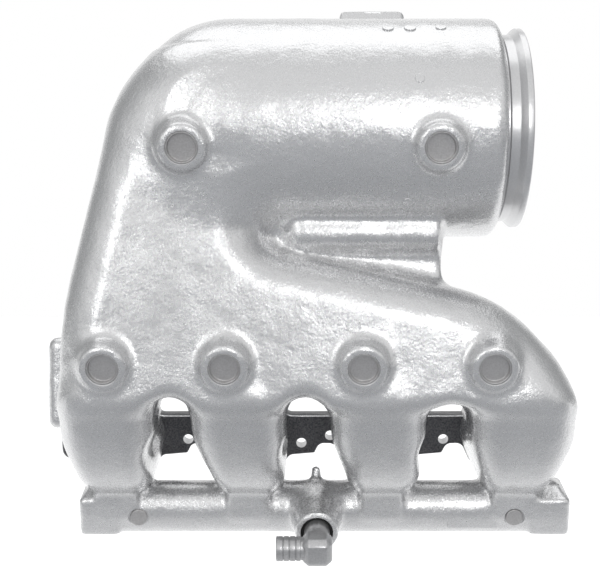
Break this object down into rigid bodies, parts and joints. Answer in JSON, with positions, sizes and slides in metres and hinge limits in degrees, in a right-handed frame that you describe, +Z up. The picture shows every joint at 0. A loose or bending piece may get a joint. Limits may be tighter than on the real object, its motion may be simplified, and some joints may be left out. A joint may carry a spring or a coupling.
{
  "type": "exhaust manifold",
  "caption": "Water-jacketed cast exhaust manifold: head flange, runners, log and trunk into a large outlet barrel with clamp rim, water rail, plugs and hose elbow.",
  "frame": {"origin": "centre of the head flange's mating face, on the port centre line, midway between the second and third ports", "axes": "+X towards the outlet, +Y towards the engine, +Z up; the mating face leans 16 degrees back from the XZ plane"},
  "size_m": [0.451, 0.1911, 0.4599],
  "materials": {
    "painted_casting": "glossy silver paint over sand-cast aluminium",
    "painted_fitting": "satin silver paint",
    "plug_metal": "satin silver paint over pressed steel",
    "seal_rubber": "matte"
  },
  "bodies": {
    "root": {"manifold_casting": "painted_casting", "water_inlet_elbow": "painted_fitting", "inlet_o_ring": "seal_rubber", "core_plug_lower_1": "plug_metal", "core_plug_lower_2": "plug_metal", "core_plug_lower_3": "plug_metal", "core_plug_lower_4": "plug_metal", "core_plug_upper_left": "plug_metal", "core_plug_upper_right": "plug_metal", "rail_plug_left": "painted_fitting", "rail_plug_right": "painted_fitting", "rail_end_plug_left": "painted_fitting", "rail_end_plug_right": "painted_fitting", "sender_plug": "painted_fitting"}
  },
  "joints": []
}
